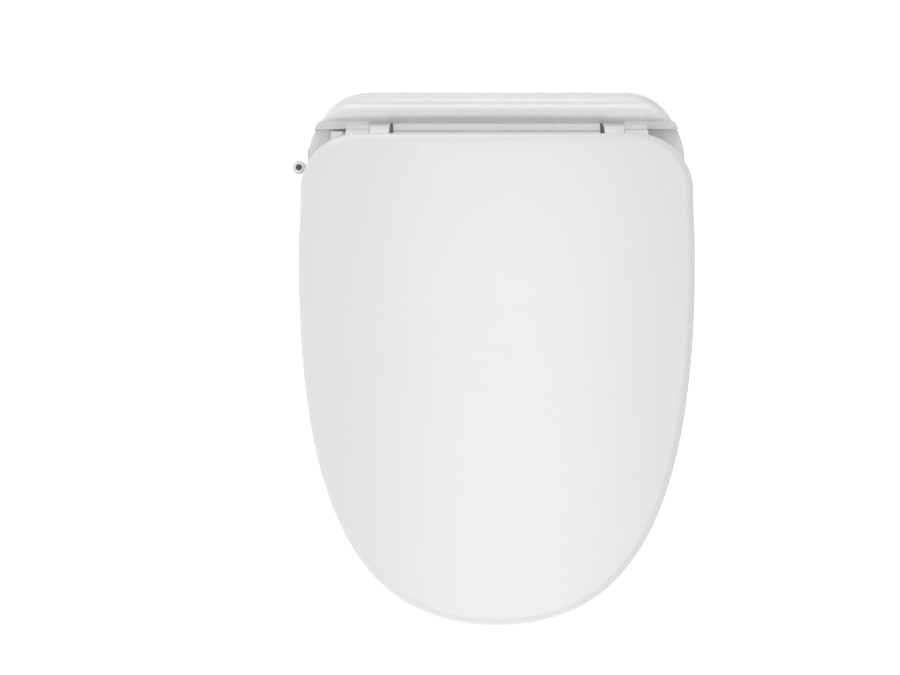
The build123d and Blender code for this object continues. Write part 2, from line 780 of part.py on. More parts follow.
for wash, side in (("rear", 1), ("front", -1)):
    with BuildPart() as nozzle_cap:
        add(wand_rod(side, -cap_thickness, 0, head_r + fit_gap))
    nozzle_cap.part.label = f"{wash}_nozzle_cap"
    export_step(nozzle_cap.part, f"parts/{wash}_nozzle_cap.step")

    with BuildPart() as nozzle_head:
        add(wand_rod(side, 0, head_length, head_r))
        add(wand_rod(side, tube_start, head_length, tube_r), mode=Mode.SUBTRACT)
        add(wand_rod(side, chamber_start, tube_start, chamber_r), mode=Mode.SUBTRACT)
        for row in range(3):
            for column in (-1, 0, 1):
                place = (column * spray_pitch[0], 0, spray_start + row * spray_pitch[1])
                spray = wand_plane(side).from_local_coords(place)
                with BuildSketch(Plane(origin=spray, x_dir=(1, 0, 0), z_dir=(0, -wand_rise, wand_run))):
                    Circle(spray_r)
                extrude(amount=head_r + 1, mode=Mode.SUBTRACT)
    nozzle_head.part.label = f"{wash}_nozzle_head"
    export_step(nozzle_head.part, f"parts/{wash}_nozzle_head.step")

    with BuildPart() as nozzle_tube:
        add(wand_rod(side, tube_start, tube_end, tube_r))
        add(wand_rod(side, tube_start, tube_end, tube_r - tube_wall), mode=Mode.SUBTRACT)
    nozzle_tube.part.label = f"{wash}_nozzle_tube"
    export_step(nozzle_tube.part, f"parts/{wash}_nozzle_tube.step")

    with BuildPart() as nozzle_rack:
        add(wand_bar(side, tube_end, rack_start, (-tube_r, -tube_r), (tube_r, tube_r)))
        rack_low = (rack_back, -rack_half_height)
        add(wand_bar(side, rack_start, rack_end, rack_low, (rack_pitch_x - dedendum, rack_half_height)))
        first = -math.floor((pinion_at - rack_start) / tooth_pitch)
        last = math.floor((rack_end - pinion_at) / tooth_pitch) - 1
        for tooth in range(first, last):
            add(rack_tooth(side, pinion_at + (tooth + 0.5) * tooth_pitch))
    nozzle_rack.part.label = f"{wash}_nozzle_rack"
    export_step(nozzle_rack.part, f"parts/{wash}_nozzle_rack.step")

    with BuildPart() as nozzle_pinion:
        with BuildSketch(pinion_plane(side, -pinion_thickness / 2)):
            add(pinion_face())
        extrude(amount=pinion_thickness)
    nozzle_pinion.part.label = f"{wash}_nozzle_pinion"
    export_step(nozzle_pinion.part, f"parts/{wash}_nozzle_pinion.step")

    with BuildPart() as nozzle_motor:
        with BuildSketch(pinion_plane(side, motor_top - motor_length)):
            Circle(motor_r)
        extrude(amount=motor_length)
        with BuildSketch(pinion_plane(side, motor_top - 1)):
            Circle(shaft_r)
        extrude(amount=shaft_top - motor_top + 1)
    nozzle_motor.part.label = f"{wash}_nozzle_motor"
    export_step(nozzle_motor.part, f"parts/{wash}_nozzle_motor.step")

channel = tube_r + fit_gap
guide_start = 30.0
guide_end = 50.0
guide_low = (-wand_spacing / 2, -8.0)
guide_high = (9.0, 9.0)
foot_inset = 4.0
with BuildPart() as nozzle_guide:
    for side in (-1, 1):
        add(wand_bar(side, guide_start, guide_end, guide_low, guide_high))
        foot = (guide_high[0], guide_high[1] + foot_inset)
        foot_start = guide_start + foot_inset
        add(wand_bar(side, foot_start, guide_end - foot_inset, (foot_inset, guide_high[1] - 0.5), foot))
    split(bisect_by=Plane.XY.offset(pad_height + wall), keep=Keep.TOP)
    for side in (-1, 1):
        bore = wand_bar(side, guide_start - 5, guide_end + 5, (-channel, -channel), (channel, channel))
        add(bore, mode=Mode.SUBTRACT)
nozzle_guide.part.label = "nozzle_guide"
export_step(nozzle_guide.part, "parts/nozzle_guide.step")

shroud_wall = 2.5
shroud_front_y = wand_tip_y - shroud_wall
shroud_edge_r = 8.0
shroud_low = 4.0
shroud_high = deck_z - 1
mouth_gap = 0.6
port_x = (24.0, 48.0)
port_z = (17.0, 31.0)
flap_pin_r = 0.8
flap_thickness = 1.6
flap_knuckle_r = 1.7
with BuildPart() as nozzle_shroud:
    add(box_between((-shroud_half, shroud_front_y, shroud_low), (shroud_half, housing_front_y, shroud_high)))
    fillet(nozzle_shroud.edges().filter_by(Axis.Z).group_by(Axis.Y)[0], shroud_edge_r)
    hollow_half = shroud_half - shroud_wall
    hollow_low = (-hollow_half, shroud_front_y + shroud_wall, shroud_low + shroud_wall)
    hollow = box_between(hollow_low, (hollow_half, housing_front_y + 1, shroud_high - shroud_wall))
    add(hollow, mode=Mode.SUBTRACT)
    for side in (-1, 1):
        add(wand_rod(side, -shroud_edge_r, shroud_edge_r, head_r + mouth_gap), mode=Mode.SUBTRACT)
    port_low = (port_x[0], shroud_front_y - 1, port_z[0])
    add(box_between(port_low, (port_x[1], shroud_front_y + shroud_wall + 1, port_z[1])), mode=Mode.SUBTRACT)
nozzle_shroud.part.label = "nozzle_shroud"
export_step(nozzle_shroud.part, "parts/nozzle_shroud.step")

# ================================================================ warm-air dryer
flap_y = shroud_front_y + 1.3
flap_pin_z = port_z[1] - 2.2
flap_ends = (port_x[0] + fit_gap, port_x[1] - fit_gap)
with BuildPart() as dryer_flap:
    flap_low = (flap_ends[0], flap_y - flap_thickness / 2, port_z[0] + fit_gap)
    add(box_between(flap_low, (flap_ends[1], flap_y + flap_thickness / 2, flap_pin_z)))
    add(rod_between(flap_ends[0], flap_ends[1], flap_y, flap_pin_z, flap_knuckle_r))
    bore = rod_between(port_x[0], port_x[1], flap_y, flap_pin_z, flap_pin_r + running_fit)
    add(bore, mode=Mode.SUBTRACT)
dryer_flap.part.label = "dryer_flap"
export_step(dryer_flap.part, "parts/dryer_flap.step")

with BuildPart() as dryer_flap_pin:
    add(rod_between(port_x[0], port_x[1], flap_y, flap_pin_z, flap_pin_r))
dryer_flap_pin.part.label = "dryer_flap_pin"
export_step(dryer_flap_pin.part, "parts/dryer_flap_pin.step")

blower_x = 92.0
blower_y = -30.0
blower_r = 25.0
blower_wall = 2.0
blower_z = (12.0, 37.0)
intake_r = 13.0
motor_hole_r = 5.0
outlet_length = 8.0
duct_wall = 1.5
duct_front_y = shroud_front_y + 5.5
duct_y = (blower_y - blower_r + blower_wall, blower_y - 6.0)
duct_x = blower_x - blower_r - outlet_length
outlet_z = (blower_z[0] + 3.0, blower_z[1] - 3.0)
with BuildPart() as blower_housing:
    add(upright(blower_x, blower_y, blower_z[0], blower_z[1], blower_r))
    add(box_between((duct_x, duct_y[0], outlet_z[0]), (blower_x, duct_y[1], outlet_z[1])))
    chamber_z = (blower_z[0] + blower_wall, blower_z[1] - blower_wall)
    chamber = upright(blower_x, blower_y, chamber_z[0], chamber_z[1], blower_r - blower_wall)
    add(chamber, mode=Mode.SUBTRACT)
    outlet_low = (duct_x - 1, duct_y[0] + duct_wall, outlet_z[0] + duct_wall)
    outlet = box_between(outlet_low, (blower_x, duct_y[1] - duct_wall, outlet_z[1] - duct_wall))
    add(outlet, mode=Mode.SUBTRACT)
    add(upright(blower_x, blower_y, chamber_z[1] - 1, blower_z[1] + 1, intake_r), mode=Mode.SUBTRACT)
    add(upright(blower_x, blower_y, blower_z[0] - 1, chamber_z[0] + 1, motor_hole_r), mode=Mode.SUBTRACT)
blower_housing.part.label = "blower_housing"
export_step(blower_housing.part, "parts/blower_housing.step")

impeller_r = 20.0
impeller_z = (17.5, 19.5)
hub_top_z = 30.0
blade_count = 18
blade_length = 5.6
blade_thickness = 1.2
blade_turn = 35.0
with BuildPart() as blower_impeller:
    add(upright(blower_x, blower_y, impeller_z[0], impeller_z[1], impeller_r))
    add(upright(blower_x, blower_y, impeller_z[0], hub_top_z, motor_hole_r))
    with BuildSketch(Plane(origin=(blower_x, blower_y, impeller_z[1] - 0.5))):
        with PolarLocations(impeller_r - 3.2, blade_count):
            Rectangle(blade_length, blade_thickness, rotation=blade_turn)
    extrude(amount=hub_top_z - impeller_z[1] + 1.5)
    hub_bore = upright(blower_x, blower_y, impeller_z[0] - 1, hub_top_z + 1, shaft_r + running_fit)
    add(hub_bore, mode=Mode.SUBTRACT)
blower_impeller.part.label = "blower_impeller"
export_step(blower_impeller.part, "parts/blower_impeller.step")

motor_face_z = impeller_z[0] - 0.5
with BuildPart() as blower_motor:
    add(upright(blower_x, blower_y, blower_z[0] - 2.5, motor_face_z, motor_hole_r - 0.2))
    add(upright(blower_x, blower_y, motor_face_z, hub_top_z - 1, shaft_r))
blower_motor.part.label = "blower_motor"
export_step(blower_motor.part, "parts/blower_motor.step")

duct_z = (14.0, 35.0)
link_z = (duct_z[0] + 1.0, duct_z[1] - 1.0)
with BuildPart() as dryer_duct:
    add(box_between((port_x[0], duct_front_y, duct_z[0]), (port_x[1], duct_y[1], duct_z[1])))
    add(box_between((port_x[1] - 1, duct_y[0], link_z[0]), (duct_x, duct_y[1], link_z[1])))
    straight_low = (port_x[0] + duct_wall, duct_front_y - 1, duct_z[0] + duct_wall)
    straight_high = (port_x[1] - duct_wall, duct_y[1] - duct_wall, duct_z[1] - duct_wall)
    add(box_between(straight_low, straight_high), mode=Mode.SUBTRACT)
    link_low = (port_x[1] - 5, duct_y[0] + duct_wall, link_z[0] + duct_wall)
    link_high = (duct_x + 1, duct_y[1] - duct_wall, link_z[1] - duct_wall)
    add(box_between(link_low, link_high), mode=Mode.SUBTRACT)
dryer_duct.part.label = "dryer_duct"
export_step(dryer_duct.part, "parts/dryer_duct.step")

grid_gap = duct_wall + fit_gap
grid_y = (duct_front_y + 6.0, duct_front_y + 10.0)
grid_middle = ((port_x[0] + port_x[1]) / 2, (duct_z[0] + duct_z[1]) / 2)
with BuildPart() as dryer_heater:
    grid_low = (port_x[0] + grid_gap, grid_y[0], duct_z[0] + grid_gap)
    add(box_between(grid_low, (port_x[1] - grid_gap, grid_y[1], duct_z[1] - grid_gap)))
    with BuildSketch(Plane.XZ.offset(-grid_y[0] + 1)):
        with Locations(grid_middle):
            with GridLocations(4.6, 4.0, 4, 4):
                Rectangle(3.4, 2.8)
    extrude(amount=grid_y[0] - grid_y[1] - 2, mode=Mode.SUBTRACT)
dryer_heater.part.label = "dryer_heater"
export_step(dryer_heater.part, "parts/dryer_heater.step")

# ================================================================ deodorizer
slot_x = housing_half - cartridge_depth
cartridge_wall = 2.0
front_block = 8.0
tray_end_x = housing_half - front_block
cartridge_mid_y = (cartridge_y[0] + cartridge_y[1]) / 2
cartridge_mid_z = (cartridge_z[0] + cartridge_z[1]) / 2
with BuildPart() as deodorizer_cartridge:
    add(box_between((slot_x, cartridge_y[0], cartridge_z[0]), (housing_half, cartridge_y[1], cartridge_z[1])))
    tray_low = (slot_x + cartridge_wall, cartridge_y[0] + cartridge_wall, cartridge_z[0] + cartridge_wall)
    tray_high = (tray_end_x, cartridge_y[1] - cartridge_wall, cartridge_z[1] + 1)
    add(box_between(tray_low, tray_high), mode=Mode.SUBTRACT)
    with BuildSketch(Plane.YZ.offset(housing_half)):
        with Locations((cartridge_mid_y, cartridge_mid_z)):
            SlotOverall(14, 5)
    extrude(amount=-3, mode=Mode.SUBTRACT)
deodorizer_cartridge.part.label = "deodorizer_cartridge"
export_step(deodorizer_cartridge.part, "parts/deodorizer_cartridge.step")

carbon_gap = cartridge_wall + fit_gap
with BuildPart() as carbon_block:
    carbon_low = (slot_x + carbon_gap, cartridge_y[0] + carbon_gap, cartridge_z[0] + cartridge_wall)
    carbon_high = (tray_end_x - fit_gap, cartridge_y[1] - carbon_gap, cartridge_z[1] - 0.5)
    add(box_between(carbon_low, carbon_high))
    with BuildSketch(Plane.XY.offset(cartridge_z[1])):
        with Locations(((slot_x + cartridge_wall + tray_end_x) / 2, cartridge_mid_y)):
            with GridLocations(4.4, 4.4, 6, 3):
                Rectangle(3.2, 3.2)
    extrude(amount=-6, mode=Mode.SUBTRACT)
carbon_block.part.label = "carbon_block"
export_step(carbon_block.part, "parts/carbon_block.step")

# ================================================================ water path
elbow_bend_r = 6.0
elbow_bore_r = 3.2
mouth_z = inlet_z + elbow_bend_r + 9.0
mouth_round = 0.8
spigot_end = (-housing_half + 14, inlet_y, inlet_z)
with BuildPart() as inlet_elbow:
    with BuildLine() as elbow_path:
        FilletPolyline(
            spigot_end,
            (-inlet_x, inlet_y, inlet_z),
            (-inlet_x, inlet_y, mouth_z),
            radius=elbow_bend_r,
        )
    with BuildSketch(Plane(origin=spigot_end, z_dir=(-1, 0, 0))):
        Circle(spigot_r)
        Circle(elbow_bore_r, mode=Mode.SUBTRACT)
    sweep(path=elbow_path.line)
    mouth_edges = inlet_elbow.edges().filter_by(GeomType.CIRCLE).group_by(Axis.Z)[-1]
    fillet(mouth_edges.sort_by(SortBy.RADIUS)[-1], mouth_round)
inlet_elbow.part.label = "inlet_elbow"
export_step(inlet_elbow.part, "parts/inlet_elbow.step")

collar_r = 6.8
collar_low_z = inlet_z + elbow_bend_r + 0.2
grip_count = 12
grip_r = 1.0
with BuildPart() as inlet_collar:
    add(upright(-inlet_x, inlet_y, collar_low_z, mouth_z - 2.5, collar_r))
    with BuildSketch(Plane(origin=(-inlet_x, inlet_y, collar_low_z))):
        with PolarLocations(collar_r + grip_r / 2, grip_count):
            Circle(grip_r)
    extrude(amount=mouth_z - collar_low_z, mode=Mode.SUBTRACT)
    add(upright(-inlet_x, inlet_y, collar_low_z, mouth_z, spigot_r), mode=Mode.SUBTRACT)
inlet_collar.part.label = "inlet_collar"
export_step(inlet_collar.part, "parts/inlet_collar.step")

filter_x = -housing_half + side_depth
filter_thickness = 1.5
with BuildPart() as inlet_filter:
    add(rod_between(filter_x, filter_x + filter_thickness, inlet_y, inlet_z, elbow_bore_r))
    with BuildSketch(Plane.YZ.offset(filter_x - 1)):
        with Locations((inlet_y, inlet_z)):
            with GridLocations(1.3, 1.3, 3, 3):
                Circle(0.4)
    extrude(amount=filter_thickness + 2, mode=Mode.SUBTRACT)
inlet_filter.part.label = "inlet_filter"
export_step(inlet_filter.part, "parts/inlet_filter.step")

valve_x = -housing_half + wall
valve_half = 8.5
valve_length = 26.0
valve_z = (20.0, 39.0)
coil_r = 8.0
valve_bore_r = 2.5
with BuildPart() as solenoid_valve:
    valve_low = (valve_x + 1, inlet_y - valve_half, valve_z[0])
    add(box_between(valve_low, (valve_x + valve_length, inlet_y + valve_half, valve_z[1])))
    socket = rod_between(valve_x, -housing_half + 15, inlet_y, inlet_z, spigot_r + running_fit)
    add(socket, mode=Mode.SUBTRACT)
    through = rod_between(valve_x + 10, valve_x + valve_length + 1, inlet_y, inlet_z, valve_bore_r)
    add(through, mode=Mode.SUBTRACT)
    add(upright(valve_x + valve_length / 2 + 1, inlet_y, valve_z[0] - 12, valve_z[0], coil_r))
solenoid_valve.part.label = "solenoid_valve"
export_step(solenoid_valve.part, "parts/solenoid_valve.step")

tank_x = (-122.0, -68.0)
tank_y = (-52.0, -28.0)
tank_z = (11.0, 38.0)
tank_wall = 3.0
tank_edge_r = 5.0
core_r = 6.0
tank_mid_y = (tank_y[0] + tank_y[1]) / 2
tank_mid_z = (tank_z[0] + tank_z[1]) / 2
with BuildPart() as water_heater:
    add(box_between((tank_x[0], tank_y[0], tank_z[0]), (tank_x[1], tank_y[1], tank_z[1])))
    fillet(water_heater.edges().filter_by(Axis.X), tank_edge_r)
    tank_low = (tank_x[0] + tank_wall, tank_y[0] + tank_wall, tank_z[0] + tank_wall)
    tank_high = (tank_x[1] - tank_wall, tank_y[1] - tank_wall, tank_z[1] - tank_wall)
    add(box_between(tank_low, tank_high), mode=Mode.SUBTRACT)
water_heater.part.label = "water_heater"
export_step(water_heater.part, "parts/water_heater.step")

with BuildPart() as heater_core:
    add(rod_between(tank_x[0] + tank_wall, tank_x[1] - tank_wall, tank_mid_y, tank_mid_z, core_r))
heater_core.part.label = "heater_core"
export_step(heater_core.part, "parts/heater_core.step")

hose_r = 3.5
hose_bore_r = 2.3
hose_bend_r = 5.0


def hose(points):
    """A hollow hose through these points, with round bends."""
    with BuildPart(mode=Mode.PRIVATE) as tube:
        with BuildLine() as path:
            FilletPolyline(*points, radius=hose_bend_r)
        with BuildSketch(Plane(origin=path.line @ 0, z_dir=path.line % 0)):
            Circle(hose_r)
            Circle(hose_bore_r, mode=Mode.SUBTRACT)
        sweep()
    return tube.part


hose_start_x = valve_x + valve_length
hose_bend_x = (hose_start_x + tank_x[0]) / 2
supply_path = [
    (hose_start_x, inlet_y, inlet_z),
    (hose_bend_x, inlet_y, inlet_z),
    (hose_bend_x, tank_mid_y, inlet_z),
    (tank_x[0], tank_mid_y, inlet_z),
]
with BuildPart() as supply_hose:
    add(hose(supply_path))
supply_hose.part.label = "supply_hose"
export_step(supply_hose.part, "parts/supply_hose.step")

selector_x = (-60.0, -38.0)
selector_z = (12.0, 30.0)
selector_head_r = 10.0
selector_head = 8.0
with BuildPart() as flow_selector:
    add(box_between((selector_x[0], tank_y[0], selector_z[0]), (selector_x[1], tank_y[1], selector_z[1])))
    head_x = (selector_x[0] + selector_x[1]) / 2
    add(upright(head_x, tank_mid_y, selector_z[1], selector_z[1] + selector_head, selector_head_r))
flow_selector.part.label = "flow_selector"
export_step(flow_selector.part, "parts/flow_selector.step")

link_hose_z = (selector_z[0] + selector_z[1]) / 2
with BuildPart() as hot_water_hose:
    add(rod_between(tank_x[1], selector_x[0], tank_mid_y, link_hose_z, hose_r))
    add(rod_between(tank_x[1], selector_x[0], tank_mid_y, link_hose_z, hose_bore_r), mode=Mode.SUBTRACT)
hot_water_hose.part.label = "hot_water_hose"
export_step(hot_water_hose.part, "parts/hot_water_hose.step")

plug_neck_r = gland_r - 2.0
plug_neck = 6.0
coin_slot = (12.0, 1.8)
coin_slot_depth = 1.2
with BuildPart() as drain_plug:
    with BuildSketch(Plane.XZ.offset(-housing_rear_y)):
        with Locations((-gland_x, gland_z)):
            Circle(gland_r)
    extrude(amount=wall)
    with BuildSketch(Plane.XZ.offset(-housing_rear_y + wall)):
        with Locations((-gland_x, gland_z)):
            Circle(plug_neck_r)
    extrude(amount=plug_neck)
    with BuildSketch(Plane.XZ.offset(-housing_rear_y)):
        with Locations((-gland_x, gland_z)):
            Rectangle(coin_slot[0], coin_slot[1])
    extrude(amount=coin_slot_depth, mode=Mode.SUBTRACT)
drain_plug.part.label = "drain_plug"
export_step(drain_plug.part, "parts/drain_plug.step")

# ================================================================ electrics
cord_r = 3.6
gland_neck = 9.0
with BuildPart() as cord_gland:
    with BuildSketch(Plane.XZ.offset(-housing_rear_y)):
        with Locations((gland_x, gland_z)):
            Circle(gland_r)
            Circle(cord_r, mode=Mode.SUBTRACT)
    extrude(amount=wall)
    with BuildSketch(Plane.XZ.offset(-housing_rear_y + wall)):
        with Locations((gland_x, gland_z)):
            Circle(plug_neck_r)
            Circle(cord_r, mode=Mode.SUBTRACT)
    extrude(amount=gland_neck)
cord_gland.part.label = "cord_gland"
export_step(cord_gland.part, "parts/cord_gland.step")

board_y = 34.0
board_thickness = 1.6
board_low_z = deck_z + 2.0
board_high_z = ledge_z + 4.0
board_half = 90.0
with BuildPart() as control_board:
    board_high = (board_half, board_y + board_thickness, board_high_z)
    add(box_between((-board_half, board_y, board_low_z), board_high))
control_board.part.label = "control_board"
export_step(control_board.part, "parts/control_board.step")

# Each block's middle across the board, width, height and depth: transformer, choke, two chips, three relays.
blocks = [(-69, 22, 16, 12), (-39, 18, 14, 12), (-2, 12, 12, 2), (14, 10, 10, 1.6)]
blocks += [(31, 14, 15, 11), (49, 14, 15, 11), (67, 14, 15, 11)]
board_back = board_y + board_thickness
board_mid_z = (board_low_z + board_high_z) / 2
capacitor_r = 4.5
capacitor_length = 10.0
with BuildPart() as board_components:
    for block_x, width, height, depth in blocks:
        block_low = (block_x - width / 2, board_back, board_mid_z - height / 2)
        add(box_between(block_low, (block_x + width / 2, board_back + depth, board_mid_z + height / 2)))
    with BuildSketch(Plane.XZ.offset(-board_back)):
        with Locations((-25, board_low_z + capacitor_r), (-14, board_low_z + capacitor_r)):
            Circle(capacitor_r)
    extrude(amount=-capacitor_length)
board_components.part.label = "board_components"
export_step(board_components.part, "parts/board_components.step")

supply_low = (40.0, 31.0, 22.0)
supply_high = (86.0, 50.0, 44.0)
with BuildPart() as power_supply:
    add(box_between(supply_low, supply_high))
power_supply.part.label = "power_supply"
export_step(power_supply.part, "parts/power_supply.step")

button_proud = 1.8
button_depth = 6.0
flange_thickness = 1.5
flange_r = button_r + 1.5
button_edge_r = 0.8
for name, button_y in (("power", power_y), ("wash", wash_y)):
    with BuildPart() as button:
        flange_x = housing_half - button_depth
        add(rod_between(flange_x, housing_half + button_proud, button_y, button_z, button_r))
        add(rod_between(flange_x - flange_thickness, flange_x, button_y, button_z, flange_r))
        fillet(button.faces().sort_by(Axis.X)[-1].edges(), button_edge_r)
    button.part.label = f"{name}_button"
    export_step(button.part, f"parts/{name}_button.step")

switch_x = housing_half - 14.0
switch_r = 3.0
switch_height = 4.5
with BuildPart() as switch_board:
    switch_low = (switch_x - board_thickness, power_y - 8, button_z - 8.5)
    add(box_between(switch_low, (switch_x, lens_y + 6, button_z + 7.5)))
    for switch_y in (power_y, wash_y):
        add(rod_between(switch_x, switch_x + switch_height, switch_y, button_z, switch_r))
switch_board.part.label = "switch_board"
export_step(switch_board.part, "parts/switch_board.step")

with BuildPart() as receiver_lens:
    add(rod_between(housing_half - button_depth, housing_half, lens_y, button_z, lens_r))
receiver_lens.part.label = "receiver_lens"
export_step(receiver_lens.part, "parts/receiver_lens.step")

release_rod_r = 2.0
with BuildPart() as release_button:
    flange_x = -housing_half + button_depth
    add(rod_between(-housing_half - button_proud, flange_x, release_y, release_z, button_r))
    add(rod_between(flange_x, flange_x + flange_thickness, release_y, release_z, flange_r))
    fillet(release_button.faces().sort_by(Axis.X)[0].edges(), button_edge_r)
    rod_end_x = -plate_half - 10
    add(rod_between(flange_x + flange_thickness, rod_end_x, release_y, release_z, release_rod_r))
release_button.part.label = "release_button"
export_step(release_button.part, "parts/release_button.step")
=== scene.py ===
import json
import math

import bpy
import bmesh
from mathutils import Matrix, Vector


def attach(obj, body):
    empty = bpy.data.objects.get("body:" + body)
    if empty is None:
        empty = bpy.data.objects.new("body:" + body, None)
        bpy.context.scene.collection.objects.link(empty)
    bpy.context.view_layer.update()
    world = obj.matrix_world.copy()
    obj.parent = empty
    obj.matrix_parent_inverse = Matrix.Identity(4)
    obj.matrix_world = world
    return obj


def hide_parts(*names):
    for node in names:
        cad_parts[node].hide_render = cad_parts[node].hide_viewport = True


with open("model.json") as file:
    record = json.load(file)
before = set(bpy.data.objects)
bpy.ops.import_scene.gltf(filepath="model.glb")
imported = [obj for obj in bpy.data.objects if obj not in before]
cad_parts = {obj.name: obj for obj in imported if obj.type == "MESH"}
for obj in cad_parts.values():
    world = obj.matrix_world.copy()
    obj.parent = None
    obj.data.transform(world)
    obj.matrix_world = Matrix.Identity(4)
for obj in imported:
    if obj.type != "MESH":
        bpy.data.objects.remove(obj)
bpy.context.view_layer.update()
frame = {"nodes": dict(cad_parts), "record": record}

nodes = frame["nodes"]

# Sizes in metres, the same as the CAD model's.
LID_HALF = 0.195
LID_REAR_Y = 0.0155
SIDE_TAPER = 0.0017
LID_NOSE_Y = -0.470
LID_CORNER_R = 0.057
LID_WIDEST_Y = -0.111
NOSE_FULLNESS = 0.69
LID_TOP_Z = 0.0785
LID_LONG_R = 7.0
LID_CROSS_R = 4.5
LID_WALL = 0.003
RIM_Z = 0.060
RING_SLOPE = math.radians(1.6)
HINGE_Y = 0.0125
HINGE_Z = 0.066
NOTCH_HALF = 0.1525
NOTCH_Z = 0.0737
NOTCH_Y = (-0.012, -0.004)
NOTCH_BLEND = 0.002
LUG_R = 0.0115
LUG_TOP_Z = 0.0741
LUG_INNER = 0.1055
LUG_OUTER = 0.1253
LUG_FRONT_Y = -0.006
LUG_SWEEP = math.radians(135)
LUG_ROUNDING = 0.0007
PANEL_INSET = 0.0034
PANEL_REAR_Y = -0.0126
PANEL_LIFT = 0.0005
PANEL_THICKNESS = 0.002
LID_CENTRE_Y = -0.215
FLAT_INSET = 0.0095
EDGE_DROP = 0.0058
RIM_LEAST = 0.0004
FAN_STEPS = 24
CORNER_STEPS = 24

# Grain and gloss of the procedural materials. Texture scales are in cycles per metre.
NOISE_ROUGHNESS = 0.55
RAMP_START = 0.3
RAMP_END = 0.7
DRIFT_SCALE = 9.0
HAZE_SCALE = 60.0
GRAIN_STRENGTH = 0.5
COAT_ROUGHNESS = 0.2
PLASTIC_IOR = 1.5
DRAWN_SCALE = 90.0
DRAWN_STRENGTH = 0.25
DRAWN_DEPTH = 0.00003
METAL_TINT = 0.18


# ------------------------------------------------------------------ materials
def new_material(name):
    """An empty node material with its shader and output."""
    material = bpy.data.materials.new(name)
    material.use_nodes = True
    tree = material.node_tree
    shader = tree.nodes["Principled BSDF"]
    return material, tree, shader


def noise(tree, scale, detail):
    """A noise texture in the object's own coordinates, which are metres."""
    coords = tree.nodes.new("ShaderNodeTexCoord")
    texture = tree.nodes.new("ShaderNodeTexNoise")
    texture.inputs["Scale"].default_value = scale
    texture.inputs["Detail"].default_value = detail
    texture.inputs["Roughness"].default_value = NOISE_ROUGHNESS
    tree.links.new(coords.outputs["Object"], texture.inputs["Vector"])
    return texture


def ramp(tree, source, low, high):
    """A colour ramp from low to high over the middle of the source's range."""
    node = tree.nodes.new("ShaderNodeValToRGB")
    node.color_ramp.elements[0].position = RAMP_START
    node.color_ramp.elements[1].position = RAMP_END
    node.color_ramp.elements[0].color = (*low, 1)
    node.color_ramp.elements[1].color = (*high, 1)
    tree.links.new(source, node.inputs["Fac"])
    return node.outputs["Color"]


def span(tree, source, low, high):
    """The source's 0..1 mapped to low..high."""
    node = tree.nodes.new("ShaderNodeMapRange")
    node.inputs["To Min"].default_value = low
    node.inputs["To Max"].default_value = high
    tree.links.new(source, node.inputs["Value"])
    return node.outputs["Result"]


def bump(tree, shader, source, strength, distance):
    """A bump of this depth in metres."""
    node = tree.nodes.new("ShaderNodeBump")
    node.inputs["Strength"].default_value = strength
    node.inputs["Distance"].default_value = distance
    tree.links.new(source, node.inputs["Height"])
    tree.links.new(node.outputs["Normal"], shader.inputs["Normal"])


def moulded(name, color, rough, grain, depth, tint, coat=0.0):
    """Moulded plastic: a slight colour drift, uneven gloss and a fine surface grain."""
    material, tree, shader = new_material(name)
    drift = noise(tree, DRIFT_SCALE, 2.0)
    dark = tuple(c * (1 - tint) for c in color)
    tree.links.new(ramp(tree, drift.outputs["Fac"], dark, color), shader.inputs["Base Color"])
    haze = noise(tree, HAZE_SCALE, 4.0)
    gloss = span(tree, haze.outputs["Fac"], rough * 0.85, rough * 1.15)
    tree.links.new(gloss, shader.inputs["Roughness"])
    texture = noise(tree, grain, 2.0)
    bump(tree, shader, texture.outputs["Fac"], GRAIN_STRENGTH, depth)
    shader.inputs["Coat Weight"].default_value = coat
    shader.inputs["Coat Roughness"].default_value = COAT_ROUGHNESS
    shader.inputs["IOR"].default_value = PLASTIC_IOR
    return material


def metal(name, color, rough, stretch=(1.0, 1.0, 40.0)):
    """Metal with fine drawn lines in its colour, gloss and surface."""
    material, tree, shader = new_material(name)
    coords = tree.nodes.new("ShaderNodeTexCoord")
    mapping = tree.nodes.new("ShaderNodeMapping")
    mapping.inputs["Scale"].default_value = stretch
    lines = tree.nodes.new("ShaderNodeTexNoise")
    lines.inputs["Scale"].default_value = DRAWN_SCALE
    lines.inputs["Detail"].default_value = 5.0
    tree.links.new(coords.outputs["Object"], mapping.inputs["Vector"])
    tree.links.new(mapping.outputs["Vector"], lines.inputs["Vector"])
    dark = tuple(c * (1 - METAL_TINT) for c in color)
    tree.links.new(ramp(tree, lines.outputs["Fac"], dark, color), shader.inputs["Base Color"])
    gloss = span(tree, lines.outputs["Fac"], rough * 0.7, rough * 1.4)
    tree.links.new(gloss, shader.inputs["Roughness"])
    bump(tree, shader, lines.outputs["Fac"], DRAWN_STRENGTH, DRAWN_DEPTH)
    shader.inputs["Metallic"].default_value = 1.0
    return material


